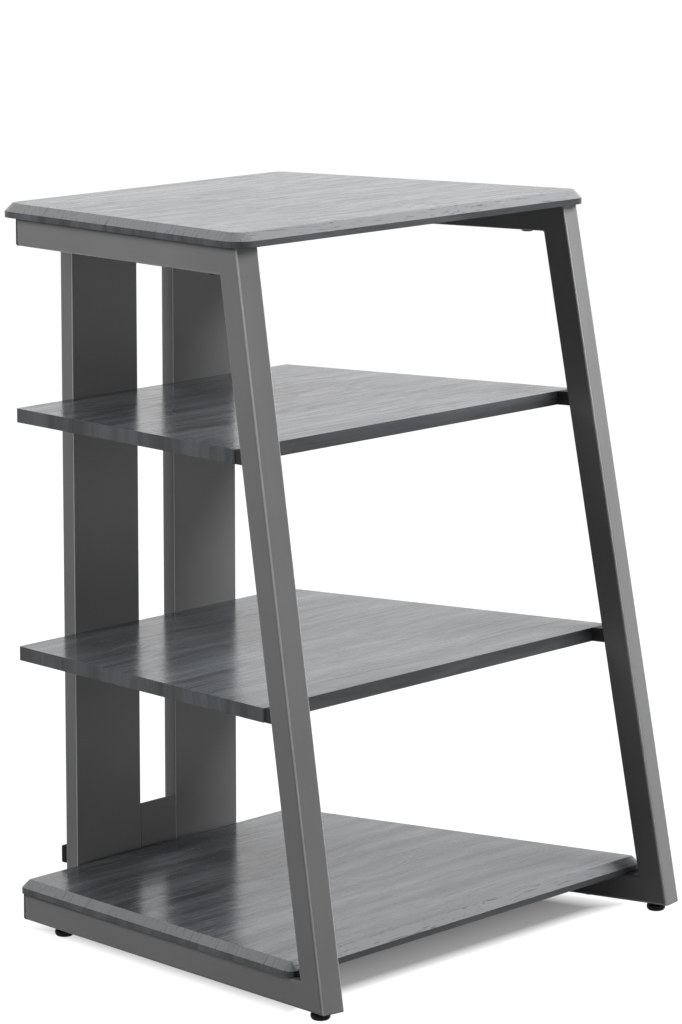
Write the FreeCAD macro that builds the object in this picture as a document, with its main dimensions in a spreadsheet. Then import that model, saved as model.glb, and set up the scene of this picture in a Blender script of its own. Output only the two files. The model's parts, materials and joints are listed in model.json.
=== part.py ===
# Four-tier media stand: two splayed side frames of square steel tube, four laminated boards and two
# flat steel columns at the back. Millimetres, +Z up, front towards -Y. The origin lies on the floor
# under the middle of the stand's outline. Small fasteners and their holes are drawn with flats.
import os
import re
import FreeCAD
import Part
import Sketcher

doc = FreeCAD.newDocument("media_stand")
sizes = doc.addObject("Spreadsheet::Sheet", "sizes")

# Every size that can be chosen by itself.
CHOSEN = {
    # side frames
    "tube_size": 32, "tube_wall": 1.5, "tube_edge_radius": 3,
    "top_front_width": 600, "rear_width": 470, "top_depth": 390, "leg_lean": 10,
    "rail_rear_gap": 3.5, "cap_flange": 3, "cap_plug_depth": 14, "cap_plug_wall": 2, "cap_clearance": 0.2,
    # heights of the boards and the bays between them
    "foot_height": 10.5, "lower_bay": 258, "middle_bay": 260, "upper_bay": 218,
    "top_board": 16, "shelf_board": 16, "bottom_board": 16,
    # outlines of the boards
    "top_side_overhang": 9, "top_front_overhang": 14, "top_rear_lip": 1, "bottom_side_overhang": 4,
    "top_corner_radius": 24, "bottom_corner_radius": 10, "shelf_corner_radius": 3,
    "top_bevel": 9, "bottom_bevel": 9, "shelf_front_gap": 8,
    # back columns and the plate between them
    "column_width": 110, "column_gap": 62, "column_depth": 18, "column_wall": 1.5, "column_edge_radius": 1.2,
    "peg_diameter": 8, "peg_height": 9, "plate_rise": 52, "plate_flange": 15, "plate_sheet": 1.5,
    "bumper_size": 21, "bumper_height": 10, "bumper_rise": 7, "bumper_inset": 12,
    "bumper_stem": 6, "bumper_stem_diameter": 6, "bumper_hole": 6.6,
    # spacers between the middle boards and the legs
    "spacer_inset": 2, "spacer_screw_offset": 6, "spacer_screw_seat": 5, "pin_inset": 22,
    "pin_diameter": 6, "pin_reach": 8, "pin_seat": 20, "pin_end_room": 0.5,
    # bolts, screws and threaded inserts
    "bolt_diameter": 6, "bolt_grip": 10, "bolt_head_diameter": 15, "bolt_head_height": 3, "bolt_hole": 6.8,
    "insert_diameter": 9, "insert_length": 12, "insert_end_room": 1, "thread_clearance": 0.05,
    "screw_diameter": 4, "screw_hole": 4.6, "screw_head_diameter": 8, "screw_head_height": 2.4,
    "spacer_screw_length": 11,
    "front_bolt_setback": 56, "rear_bolt_setback": 128,
    "bottom_front_bolt_setback": 110, "bottom_rear_bolt_setback": 115,
    # levelling feet
    "front_foot_setback": 22, "rear_foot_setback": 60, "pad_diameter": 22, "pad_height": 7,
    "pad_bevel": 2.5, "pad_floor": 1.7, "pad_room": 0.3, "stem_diameter": 8, "stem_length": 24, "stem_disc": 11,
    "stem_disc_height": 2, "stem_collar": 13, "collar_room": 0.3, "stem_hole": 9.4,
    "nut_width": 13, "nut_height": 6.5,
}

# Sizes and places that follow from the chosen ones.
DERIVED = {
    "splay": "atan((top_front_width - rear_width) / 2 / top_depth)",
    "splay_sine": "sin(splay)", "splay_cosine": "cos(splay)", "splay_slope": "tan(splay)",
    "lean_slope": "tan(leg_lean * 1 deg)", "lean_cosine": "cos(leg_lean * 1 deg)",
    "leg_depth": "tube_size / lean_cosine", "wall_depth": "tube_wall / lean_cosine",
    "frame_height": "tube_size + bottom_board + lower_bay + middle_bay + upper_bay + 2 * shelf_board",
    "leg_run": "top_depth / splay_cosine + frame_height * lean_slope",
    "corner_loss": "tube_edge_radius * (splay_cosine + splay_sine - 1)",
    "front_reach": "leg_run * splay_cosine + tube_size * splay_sine - corner_loss",
    "rear_plane": "(front_reach - column_depth - bumper_height) / 2",
    "frame_x": "rear_width / 2 - tube_size / 2 * splay_cosine",
    "frame_y": "rear_plane - tube_size / 2 * splay_sine",
    "bottom_rail_top": "foot_height + tube_size",
    "bottom_shelf_top": "bottom_rail_top + bottom_board",
    "lower_shelf_under": "bottom_shelf_top + lower_bay",
    "lower_shelf_top": "lower_shelf_under + shelf_board",
    "upper_shelf_under": "lower_shelf_top + middle_bay",
    "upper_shelf_top": "upper_shelf_under + shelf_board",
    "frame_top": "upper_shelf_top + upper_bay",
    "upper_shelf_depth":
        "(leg_run - (upper_shelf_top - foot_height) * lean_slope - leg_depth) * splay_cosine - shelf_front_gap",
    "lower_shelf_depth":
        "(leg_run - (lower_shelf_top - foot_height) * lean_slope - leg_depth) * splay_cosine - shelf_front_gap",
    "bottom_shelf_depth":
        "(leg_run - (bottom_shelf_top - foot_height) * lean_slope - leg_depth) * splay_cosine - shelf_front_gap",
    "column_height": "frame_top - bottom_rail_top",
    "column_middle": "column_gap / 2 + column_width / 2",
    "bore_width": "column_width - 2 * column_wall", "bore_depth": "column_depth - 2 * column_wall",
    "plate_height": "bottom_board + plate_rise",
    "bumper_level": "bottom_shelf_top + bumper_rise",
    "pin_hole": "pin_diameter + 2 * thread_clearance",
    "insert_hole": "insert_diameter + 2 * thread_clearance",
    "tapped_screw_hole": "screw_diameter + 2 * thread_clearance",
    "peg_hole": "peg_diameter + 2 * cap_clearance",
    "collar_under": "pad_height + collar_room",
}
KNOWN = set(CHOSEN) | set(DERIVED)

row = 1
for name, number in CHOSEN.items():
    sizes.set("A%d" % row, name)
    sizes.set("B%d" % row, str(number))
    sizes.setAlias("B%d" % row, name)
    row += 1
for name, formula in DERIVED.items():
    sizes.set("A%d" % row, name)
    sizes.set("B%d" % row, "=" + formula)
    sizes.setAlias("B%d" % row, name)
    row += 1
doc.recompute()


def bound(text):
    """The expression with every named size read from the sheet."""
    return re.sub(r"[a-z_]+", lambda m: "sizes." + m.group(0) if m.group(0) in KNOWN else m.group(0), text)


def value(text):
    """The expression's present value."""
    result = sizes.evalExpression(bound(text))
    return float(getattr(result, "Value", result))


def new_body(name):
    body = doc.addObject("PartDesign::Body", name)
    body.Label = name
    return body


def sketch_on(body, role, name, offset=None):
    """A sketch on one of the body's own origin planes, moved along the plane's normal."""
    sketch = body.newObject("Sketcher::SketchObject", name)
    plane = [item for item in body.Origin.OriginFeatures if item.Role == role][0]
    sketch.AttachmentSupport = [(plane, "")]
    sketch.MapMode = "FlatFace"
    if offset:
        sketch.setExpression("AttachmentOffset.Base.z", bound(offset))
    return sketch


def fix_points(sketch, points):
    """Ties points of the sketch, each a curve and the number of its point, to their two expressions."""
    constraints = []
    texts = []
    for curve, corner, x, y in points:
        for kind, axis, text in (("DistanceX", -2, x), ("DistanceY", -1, y)):
            if text == "0":
                constraints.append(Sketcher.Constraint("PointOnObject", curve, corner, axis))
            else:
                constraints.append(Sketcher.Constraint(kind, -1, 1, curve, corner, value(text)))
            texts.append(text)
    for index, text in zip(sketch.addConstraint(constraints), texts):
        if text != "0":
            sketch.setExpression("Constraints[%d]" % index, bound(text))


def polygon(sketch, points):
    first = sketch.GeometryCount
    count = len(points)
    spots = [FreeCAD.Vector(value(x), value(y), 0) for x, y in points]
    sketch.addGeometry([Part.LineSegment(spots[i], spots[(i + 1) % count]) for i in range(count)], False)
    sketch.addConstraint([
        Sketcher.Constraint("Coincident", first + i, 2, first + (i + 1) % count, 1) for i in range(count)])
    fix_points(sketch, [(first + i, 1, x, y) for i, (x, y) in enumerate(points)])


def rectangle(sketch, x_low, x_high, y_low, y_high):
    polygon(sketch, [(x_low, y_low), (x_high, y_low), (x_high, y_high), (x_low, y_high)])


def ring(sketch, x, y, diameter, flats=12):
    """A regular polygon in place of a small circle, its corners on that circle."""
    corners = []
    for i in range(flats):
        turn = (i + 0.5) * 360 / flats
        corners.append((
            "%s + (%s) / 2 * cos(%g deg)" % (x, diameter, turn),
            "%s + (%s) / 2 * sin(%g deg)" % (y, diameter, turn)))
    polygon(sketch, corners)


def circle(sketch, x, y, diameter):
    middle = FreeCAD.Vector(value(x), value(y), 0)
    curve = sketch.addGeometry(Part.Circle(middle, FreeCAD.Vector(0, 0, 1), value(diameter) / 2), False)
    fix_points(sketch, [(curve, 3, x, y)])
    index = sketch.addConstraint(Sketcher.Constraint("Diameter", curve, value(diameter)))
    sketch.setExpression("Constraints[%d]" % index, bound(diameter))


def pad(body, sketch, length, symmetric=False, reverse=False):
    feature = body.newObject("PartDesign::Pad", sketch.Name + "_pad")
    feature.Profile = sketch
    feature.setExpression("Length", bound(length))
    feature.SideType = "Symmetric" if symmetric else "One side"
    feature.Reversed = reverse
    doc.recompute()
    return feature


def pocket(body, sketch, length=None, symmetric=False, reverse=False):
    """Cuts the sketch out of the body, through all of it when no length is given."""
    before = body.Shape.Volume
    feature = body.newObject("PartDesign::Pocket", sketch.Name + "_pocket")
    feature.Profile = sketch
    feature.SideType = "Symmetric" if symmetric else "One side"
    feature.Reversed = reverse
    if length:
        feature.setExpression("Length", bound(length))
    else:
        feature.Type = "ThroughAll"
    doc.recompute()
    if not body.Shape.Volume < before - 0.01:
        raise RuntimeError("%s cuts nothing" % feature.Name)
    return feature


def edges_where(shape, test):
    """Names of the straight or curved edges for which the test on both end points holds."""
    found = []
    for i, edge in enumerate(shape.Edges):
        ends = [vertex.Point for vertex in edge.Vertexes]
        if len(ends) == 2 and test(ends[0], ends[1]):
            found.append("Edge%d" % (i + 1))
    return found


def round_edges(body, feature, names, radius):
    fillet = body.newObject("PartDesign::Fillet", feature.Name + "_round")
    fillet.Base = (feature, names)
    fillet.setExpression("Radius", bound(radius))
    doc.recompute()
    return fillet


def bevel_edges(body, feature, test, width):
    """Slopes off the edges for which the test on both end points holds."""
    chamfer = body.newObject("PartDesign::Chamfer", feature.Name + "_bevel")
    chamfer.Base = (feature, edges_where(feature.Shape, test))
    chamfer.setExpression("Size", bound(width))
    doc.recompute()


def upright(a, b):
    return abs(a.x - b.x) < 0.001 and abs(a.y - b.y) < 0.001


def put(item, x, y, z, turn=None, splay_side=0):
    """Places a piece; a splay side of -1 or 1 turns it with the left or right frame."""
    if splay_side:
        item.Placement.Rotation = FreeCAD.Rotation(FreeCAD.Vector(0, 0, splay_side), value("splay"))
        item.setExpression("Placement.Rotation.Angle", bound("splay"))
    elif turn:
        item.Placement.Rotation = turn
    for axis, text in (("x", x), ("y", y), ("z", z)):
        if text != "0":
            item.setExpression("Placement.Base." + axis, bound(text))


def on_frame(side, setback, inward="0"):
    """Plan position on a side frame's middle plane, a setback forward of its rear end."""
    x = "%d * (frame_x + (%s) * splay_sine - (%s) * splay_cosine)" % (side, setback, inward)
    y = "frame_y - (%s) * splay_cosine - (%s) * splay_sine" % (setback, inward)
    return x, y


def group(name, master, places):
    """Copies of one piece at several places, kept as one node."""
    copies = []
    for i, place in enumerate(places):
        copy = doc.addObject("App::Link", "%s_%d" % (name, i + 1))
        copy.LinkedObject = master
        put(copy, *place)
        copies.append(copy)
    node = doc.addObject("Part::Compound", name)
    node.Label = name
    node.Links = copies
    doc.recompute()
    nodes.append(node)
    return node


nodes = []
LEFT = -1
RIGHT = 1
SIDES = ((LEFT, "left"), (RIGHT, "right"))
POINT_UP = FreeCAD.Rotation(FreeCAD.Vector(1, 0, 0), -90)
POINT_DOWN = FreeCAD.Rotation(FreeCAD.Vector(1, 0, 0), 90)

# Heights above the underside of the frame and runs from the foot of the leg's front face, as seen from
# the side. The front face leans back as it rises.
FOOT_OUTER = ("0", "0")
FOOT_INNER = ("tube_size * lean_slope + leg_depth", "tube_size")
HEAD_OUTER = ("frame_height * lean_slope", "frame_height")
HEAD_INNER = ("(frame_height - tube_size) * lean_slope + leg_depth", "frame_height - tube_size")
FOOT_OUTER_BORE = ("tube_wall * lean_slope + wall_depth", "tube_wall")
FOOT_INNER_BORE = ("(tube_size - tube_wall) * lean_slope + leg_depth - wall_depth", "tube_size - tube_wall")
HEAD_OUTER_BORE = ("(frame_height - tube_wall) * lean_slope + wall_depth", "frame_height - tube_wall")
HEAD_INNER_BORE = (
    "(frame_height - tube_size + tube_wall) * lean_slope + leg_depth - wall_depth",
    "frame_height - tube_size + tube_wall",
)
RAIL_END = "leg_run - rail_rear_gap - cap_flange"


def tube(name, side, outline, bore):
    """A mitred square tube of a side frame, from its side view and that of its bore."""
    body = new_body(name)
    view = sketch_on(body, "YZ_Plane", name + "_side")
    polygon(view, outline)
    solid = pad(body, view, "tube_size", symmetric=True)
    half = value("tube_size") / 2
    longest = max(edge.Length for edge in solid.Shape.Edges)

    def runs_along(a, b):
        same_side = abs(a.x - b.x) < 0.001 and abs(abs(a.x) - half) < 0.001
        return same_side and a.distanceToPoint(b) > 0.8 * longest
    round_edges(body, solid, edges_where(solid.Shape, runs_along), "tube_edge_radius")
    hollow = sketch_on(body, "YZ_Plane", name + "_bore")
    polygon(hollow, bore)
    pocket(body, hollow, "tube_size - 2 * tube_wall", symmetric=True)
    x, y = on_frame(side, "leg_run")
    put(body, x, y, "foot_height", splay_side=side)
    nodes.append(body)
    return body


def upright_holes(body, name, spots, diameter, length=None):
    """Round holes cut upwards from the underside of a rail."""
    view = sketch_on(body, "XY_Plane", name)
    for spot in spots:
        ring(view, "0", spot, diameter)
    pocket(body, view, length, reverse=True)


for side, word in SIDES:
    rail = tube(
        word + "_top_rail", side,
        [HEAD_OUTER, HEAD_INNER, (RAIL_END, "frame_height - tube_size"), (RAIL_END, "frame_height")],
        [HEAD_OUTER_BORE, HEAD_INNER_BORE, (RAIL_END, "frame_height - tube_size + tube_wall"),
         (RAIL_END, "frame_height - tube_wall")],
    )
    upright_holes(
        rail, word + "_top_bolt_holes",
        ["frame_height * lean_slope + front_bolt_setback", "leg_run - rear_bolt_setback"], "bolt_hole",
    )
    rail = tube(
        word + "_bottom_rail", side,
        [FOOT_OUTER, (RAIL_END, "0"), (RAIL_END, "tube_size"), FOOT_INNER],
        [FOOT_OUTER_BORE, (RAIL_END, "tube_wall"), (RAIL_END, "tube_size - tube_wall"), FOOT_INNER_BORE],
    )
    upright_holes(
        rail, word + "_bottom_bolt_holes",
        ["bottom_front_bolt_setback", "leg_run - bottom_rear_bolt_setback"], "bolt_hole",
    )
    upright_holes(
        rail, word + "_foot_holes", ["front_foot_setback", "leg_run - rear_foot_setback"],
        "stem_hole", "2 * tube_wall",
    )
    leg = tube(
        word + "_front_leg", side,
        [FOOT_OUTER, FOOT_INNER, HEAD_INNER, HEAD_OUTER],
        [FOOT_OUTER_BORE, FOOT_INNER_BORE, HEAD_INNER_BORE, HEAD_OUTER_BORE],
    )
    for shelf in ("upper", "lower"):
        level = "%s_shelf_under + shelf_board / 2 - foot_height" % shelf
        inside = "-((%s) * lean_slope + leg_depth / 2)" % level
        view = sketch_on(leg, "XZ_Plane", "%s_%s_leg_hole" % (word, shelf), inside)
        ring(view, "%d * spacer_screw_offset" % side, level, "tapped_screw_hole")
        pocket(leg, view, "leg_depth")



def skirt(body, width, height, wall, depth, start=None):
    """The hollow part of a plug that fills a tube's bore, along -Y."""
    view = sketch_on(body, "XZ_Plane", body.Name + "_skirt", start)
    for inset in ("cap_clearance", "(cap_clearance + cap_plug_wall)"):
        across = "(%s) / 2 - %s - %s" % (width, wall, inset)
        upward = "(%s) / 2 - %s - %s" % (height, wall, inset)
        rectangle(view, "-(%s)" % across, across, "-(%s)" % upward, upward)
    pad(body, view, depth)


def flanged_plug(name, width, height, wall, corner, depth):
    """A plug whose flange, with its corners cut, covers the end of a tube."""
    body = new_body(name)
    view = sketch_on(body, "XZ_Plane", name + "_flange")
    rectangle(view, "-%s / 2" % width, width + " / 2", "-%s / 2" % height, height + " / 2")
    flange = pad(body, view, "cap_flange", reverse=True)
    bevel_edges(body, flange, lambda a, b: abs(a.y - b.y) > 0.001, corner + " * 0.6")
    skirt(body, width, height, wall, depth)
    return body


# Plugs that close the rear ends of the four rails.
cap = flanged_plug(
    "rail_end_cap", "tube_size", "tube_size", "tube_wall", "tube_edge_radius", "cap_plug_depth")
cap_places = []
for side, word in SIDES:
    x, y = on_frame(side, "rail_rear_gap + cap_flange")
    for level in ("foot_height + tube_size / 2", "frame_top - tube_size / 2"):
        cap_places.append((x, y, level, None, side))
group("rail_end_caps", cap, cap_places)


def board(name, under, thickness, front, rear, overhang, radius):
    """A board whose sides follow the splayed frames; front and rear count from the rear plane."""
    body = new_body(name)
    view = sketch_on(body, "XY_Plane", name + "_plan")
    wide = "rear_width / 2 + (%s) * splay_slope + (%s) / splay_cosine" % (front, overhang)
    narrow = "rear_width / 2 - (%s) * splay_slope + (%s) / splay_cosine" % (rear, overhang)
    polygon(view, [
        ("-(%s)" % wide, "rear_plane - (%s)" % front), (wide, "rear_plane - (%s)" % front),
        (narrow, "rear_plane + (%s)" % rear), ("-(%s)" % narrow, "rear_plane + (%s)" % rear),
    ])
    solid = pad(body, view, thickness)
    solid = round_edges(body, solid, edges_where(solid.Shape, upright), radius)
    put(body, "0", "0", under)
    nodes.append(body)
    return body, solid


def bevel_top(body, solid, thickness, width):
    """The sloping edge round the top face."""
    level = value(thickness)
    bevel_edges(body, solid, lambda a, b: abs(a.z - level) < 0.001 and abs(b.z - level) < 0.001, width)


def under_holes(body, name, spots, diameter, depth):
    """Round blind holes in the underside of a board."""
    view = sketch_on(body, "XY_Plane", name)
    for x, y in spots:
        ring(view, x, y, diameter)
    pocket(body, view, depth, reverse=True)


def rear_holes(body, name, thickness):
    """Blind holes for the inserts in a board's rear edge, one behind each column."""
    view = sketch_on(body, "XZ_Plane", name, "-rear_plane")
    for x in ("-column_middle", "column_middle"):
        ring(view, x, thickness + " / 2", "insert_hole")
    pocket(body, view, "insert_length + insert_end_room", reverse=True)


rail_bolt_spots = {"top": [], "bottom": []}
for side, word in SIDES:
    setbacks = ("leg_run - frame_height * lean_slope - front_bolt_setback", "rear_bolt_setback")
    for setback in setbacks:
        rail_bolt_spots["top"].append(on_frame(side, setback))
    for setback in ("leg_run - bottom_front_bolt_setback", "bottom_rear_bolt_setback"):
        rail_bolt_spots["bottom"].append(on_frame(side, setback))
column_spots = [(x, "rear_plane + column_depth / 2") for x in ("-column_middle", "column_middle")]

top, solid = board(
    "top_shelf", "frame_top", "top_board", "top_depth + top_front_overhang",
    "column_depth + top_rear_lip", "top_side_overhang", "top_corner_radius",
)
bevel_top(top, solid, "top_board", "top_bevel")
under_holes(top, "top_insert_holes", rail_bolt_spots["top"], "insert_hole", "insert_length + insert_end_room")
under_holes(top, "top_peg_holes", column_spots, "peg_hole", "peg_height + pin_end_room")
bottom, solid = board(
    "bottom_shelf", "bottom_rail_top", "bottom_board", "bottom_shelf_depth", "0",
    "bottom_side_overhang", "bottom_corner_radius",
)
bevel_top(bottom, solid, "bottom_board", "bottom_bevel")
under_holes(
    bottom, "bottom_insert_holes", rail_bolt_spots["bottom"], "insert_hole", "insert_length + insert_end_room",
)
rear_holes(bottom, "bottom_rear_holes", "bottom_board")
for shelf in ("upper", "lower"):
    depth = shelf + "_shelf_depth"
    body, solid = board(
        shelf + "_shelf", shelf + "_shelf_under", "shelf_board", depth, "0", "0", "shelf_corner_radius",
    )
    rear_holes(body, shelf + "_rear_holes", "shelf_board")
    view = sketch_on(body, "XZ_Plane", shelf + "_pin_holes", "%s - rear_plane" % depth)
    for side, word in SIDES:
        across = "%d * (rear_width / 2 + %s * splay_slope - pin_inset)" % (side, depth)
        ring(view, across, "shelf_board / 2", "pin_hole")
    pocket(body, view, "pin_seat + pin_end_room")

# Spacers that bridge the gap between the middle boards and the leaning legs.
for side, word in SIDES:
    for shelf in ("upper", "lower"):
        name = "%s_%s_spacer" % (word, shelf)
        depth = shelf + "_shelf_depth"
        low = shelf + "_shelf_under - foot_height"
        high = shelf + "_shelf_top - foot_height"
        middle = low + " + shelf_board / 2"
        rear = "leg_run + tube_size / 2 * splay_slope - %s / splay_cosine" % depth
        beyond = rear + " + tube_size"
        wedge = new_body(name + "_wedge")
        view = sketch_on(wedge, "YZ_Plane", name + "_side")
        polygon(view, [
            ("(%s) * lean_slope + leg_depth" % low, low), (beyond, low), (beyond, high),
            ("(%s) * lean_slope + leg_depth" % high, high),
        ])
        pad(wedge, view, "tube_size - 2 * spacer_inset", symmetric=True)
        view = sketch_on(wedge, "XY_Plane", name + "_rear")
        polygon(view, [
            ("-tube_size", "%s + %d * tube_size * splay_slope" % (rear, side)),
            ("tube_size", "%s - %d * tube_size * splay_slope" % (rear, side)),
            ("tube_size", rear + " + 2 * tube_size"), ("-tube_size", rear + " + 2 * tube_size"),
        ])
        pocket(wedge, view, symmetric=True)
        across = "%d * spacer_screw_offset" % side
        view = sketch_on(wedge, "XZ_Plane", name + "_screw_hole")
        ring(view, across, middle, "screw_hole")
        pocket(wedge, view)
        seat = "-((%s) * lean_slope + leg_depth + spacer_screw_seat)" % middle
        view = sketch_on(wedge, "XZ_Plane", name + "_head_hole", seat)
        ring(view, across, middle, "screw_head_diameter + 2 * cap_clearance")
        pocket(wedge, view)
        x, y = on_frame(side, "leg_run")
        put(wedge, x, y, "foot_height", splay_side=side)
        socket = doc.addObject("Part::Prism", name + "_socket")
        socket.Polygon = 12
        socket.setExpression("Circumradius", bound("pin_hole / 2 / cos(15 deg)"))
        socket.setExpression("Height", bound("pin_reach + pin_end_room + tube_size"))
        put(
            socket, "%d * (rear_width / 2 + %s * splay_slope - pin_inset)" % (side, depth),
            "rear_plane - %s + tube_size" % depth, shelf + "_shelf_under + shelf_board / 2",
            FreeCAD.Rotation(FreeCAD.Vector(1, 0, 0), 90),
        )
        spacer = doc.addObject("Part::Cut", name)
        spacer.Label = name
        spacer.Base = wedge
        spacer.Tool = socket
        doc.recompute()
        nodes.append(spacer)

# Flat steel columns of rectangular tube behind the boards.
for side, word in SIDES:
    name = word + "_back_column"
    column = new_body(name)
    view = sketch_on(column, "XY_Plane", name + "_section")
    rectangle(view, "0", "column_width", "0", "column_depth")
    solid = pad(column, view, "column_height")
    round_edges(column, solid, edges_where(solid.Shape, upright), "column_edge_radius")
    view = sketch_on(column, "XY_Plane", name + "_bore")
    rectangle(view, "column_wall", "column_width - column_wall", "column_wall", "column_depth - column_wall")
    pocket(column, view, reverse=True)
    view = sketch_on(column, "XZ_Plane", name + "_bolt_holes")
    for level in ("bottom_board / 2", "lower_shelf_under + shelf_board / 2 - bottom_rail_top",
                  "upper_shelf_under + shelf_board / 2 - bottom_rail_top"):
        ring(view, "column_width / 2", level, "bolt_hole")
    pocket(column, view)
    outer = "bumper_inset" if side == LEFT else "column_width - bumper_inset"
    view = sketch_on(column, "XZ_Plane", name + "_bumper_hole", "2 * column_wall - column_depth")
    ring(view, outer, "bumper_level - bottom_rail_top", "bumper_hole")
    pocket(column, view, "3 * column_wall")
    start = "-column_gap / 2 - column_width" if side == LEFT else "column_gap / 2"
    put(column, start, "rear_plane", "bottom_rail_top")
    nodes.append(column)

# Plugs in the columns: one with a flange below, one with a peg that locates the top board above.
foot_plug = flanged_plug(
    "column_foot_plug", "column_width", "column_depth", "column_wall", "column_edge_radius",
    "(bottom_board - bolt_hole) / 2 - cap_clearance")
group("column_foot_plugs", foot_plug, [(x, y, "bottom_rail_top", POINT_UP) for x, y in column_spots])
top_plug = new_body("column_top_plug")
view = sketch_on(top_plug, "XZ_Plane", "top_plug_plate")
across = "bore_width / 2 - cap_clearance"
upward = "bore_depth / 2 - cap_clearance"
rectangle(view, "-(%s)" % across, across, "-(%s)" % upward, upward)
pad(top_plug, view, "cap_plug_wall")
skirt(top_plug, "column_width", "column_depth", "column_wall", "cap_plug_depth", "cap_plug_wall")
view = sketch_on(top_plug, "XZ_Plane", "top_plug_peg")
ring(view, "0", "0", "peg_diameter")
pad(top_plug, view, "peg_height", reverse=True)
group("column_top_plugs", top_plug, [(x, y, "frame_top", POINT_DOWN) for x, y in column_spots])

# Plate that closes the cable slot just above the bottom board.
cross = new_body("column_cross_plate")
view = sketch_on(cross, "XY_Plane", "cross_section")
half = "column_gap / 2"
polygon(view, [
    ("-" + half, "0"), (half, "0"), (half, "plate_flange"), (half + " - plate_sheet", "plate_flange"),
    (half + " - plate_sheet", "plate_sheet"), ("plate_sheet - " + half, "plate_sheet"),
    ("plate_sheet - " + half, "plate_flange"), ("-" + half, "plate_flange"),
])
pad(cross, view, "plate_height")
put(cross, "0", "rear_plane", "bottom_rail_top")
nodes.append(cross)


def stepped(name, sections):
    """A small straight piece along Y from its steps: outer and inner diameter, high end and low end."""
    body = new_body(name)
    for i, (outer, inner, high, low, flats) in enumerate(sections):
        view = sketch_on(body, "XZ_Plane", "%s_step_%d" % (name, i + 1), "-(%s)" % high)
        ring(view, "0", "0", outer, flats)
        if inner:
            ring(view, "0", "0", inner, flats)
        pad(body, view, "(%s) - (%s)" % (high, low))
    return body


def hexagon(sketch, width):
    """A hexagon about the sketch's origin, two of its flats facing along the first axis."""
    half = "(%s) / 2" % width
    low = "(%s) / 2 * tan(30 deg)" % width
    point = "(%s) / 2 / cos(30 deg)" % width
    polygon(sketch, [
        (half, "-(%s)" % low), (half, low), ("0", point), ("-(%s)" % half, low),
        ("-(%s)" % half, "-(%s)" % low), ("0", "-(%s)" % point),
    ])


def bolt(name, length):
    """A low-headed bolt, its shank towards -Y and its head seated on zero."""
    return stepped(name, [
        ("bolt_diameter", None, "0", "-(%s)" % length, 12),
        ("bolt_head_diameter", None, "bolt_head_height", "0", 12),
    ])


rail_bolt = bolt("rail_bolt", "tube_size + bolt_grip")
column_bolt = bolt("column_bolt", "column_depth + bolt_grip")
insert = stepped("board_insert", [
    ("insert_diameter", "bolt_diameter + 2 * thread_clearance", "0", "-insert_length", 12)])
for tier, under, top_of_rail in (
        ("top", "frame_top - tube_size", "frame_top"), ("bottom", "foot_height", "bottom_rail_top")):
    spots = rail_bolt_spots[tier]
    group(tier + "_shelf_bolts", rail_bolt, [(x, y, under, POINT_UP) for x, y in spots])
    group(tier + "_shelf_inserts", insert, [(x, y, top_of_rail, POINT_UP) for x, y in spots])
bolt_places = []
insert_places = []
for middle in ("bottom_rail_top + bottom_board / 2", "lower_shelf_under + shelf_board / 2",
               "upper_shelf_under + shelf_board / 2"):
    for x in ("-column_middle", "column_middle"):
        bolt_places.append((x, "rear_plane + column_depth", middle))
        insert_places.append((x, "rear_plane", middle))
group("column_bolts", column_bolt, bolt_places)
group("shelf_edge_inserts", insert, insert_places)

spacer_screw = stepped("spacer_screw", [
    ("screw_diameter", None, "0", "-spacer_screw_length", 12),
    ("screw_head_diameter", None, "screw_head_height", "0", 12),
])
pin = stepped("shelf_pin", [("pin_diameter", None, "pin_seat", "-pin_reach", 12)])
screw_places = []
pin_places = []
for side, word in SIDES:
    for shelf in ("upper", "lower"):
        level = shelf + "_shelf_under + shelf_board / 2"
        depth = shelf + "_shelf_depth"
        run = "leg_run - (%s - foot_height) * lean_slope - leg_depth - spacer_screw_seat" % level
        x, y = on_frame(side, run, "-spacer_screw_offset")
        screw_places.append((x, y, level, None, side))
        pin_places.append((
            "%d * (rear_width / 2 + %s * splay_slope - pin_inset)" % (side, depth),
            "rear_plane - " + depth, level))
group("spacer_screws", spacer_screw, screw_places)
group("shelf_pins", pin, pin_places)

# Square rubber buffers that keep the columns off the wall.
bumper = stepped("wall_bumper", [
    ("bumper_size * sqrt(2)", None, "bumper_height", "0", 4),
    ("bumper_stem_diameter", None, "0", "-bumper_stem", 12),
])
for side, word in SIDES:
    x = "%d * (column_gap / 2 + column_width - bumper_inset)" % side
    group(word + "_wall_bumper", bumper, [(x, "rear_plane + column_depth", "bumper_level")])

# Levelling feet: a pad on the floor and a threaded stem that turns in it and in the rail.
foot_nut = new_body("foot_nut")
view = sketch_on(foot_nut, "XY_Plane", "foot_nut_outline")
hexagon(view, "nut_width")
ring(view, "0", "0", "(stem_diameter + 2 * thread_clearance) / cos(15 deg)")
pad(foot_nut, view, "nut_height")
foot_pad = new_body("foot_pad")
view = sketch_on(foot_pad, "XY_Plane", "foot_pad_outline")
ring(view, "0", "0", "pad_diameter", 24)
block = pad(foot_pad, view, "pad_height")
bevel_edges(foot_pad, block, lambda a, b: abs(a.z) < 0.001 and abs(b.z) < 0.001, "pad_bevel")
view = sketch_on(foot_pad, "XY_Plane", "foot_pad_recess", "pad_height")
ring(view, "0", "0", "stem_disc + 2 * pad_room", 24)
pocket(foot_pad, view, "pad_height - pad_floor")
foot_stem = new_body("foot_stem")
view = sketch_on(foot_stem, "XY_Plane", "foot_stem_disc", "pad_floor")
ring(view, "0", "0", "stem_disc", 24)
pad(foot_stem, view, "stem_disc_height")
view = sketch_on(foot_stem, "XY_Plane", "foot_stem_shaft", "pad_floor + stem_disc_height")
circle(view, "0", "0", "stem_diameter")
pad(foot_stem, view, "foot_height + stem_length - pad_floor - stem_disc_height")
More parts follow.
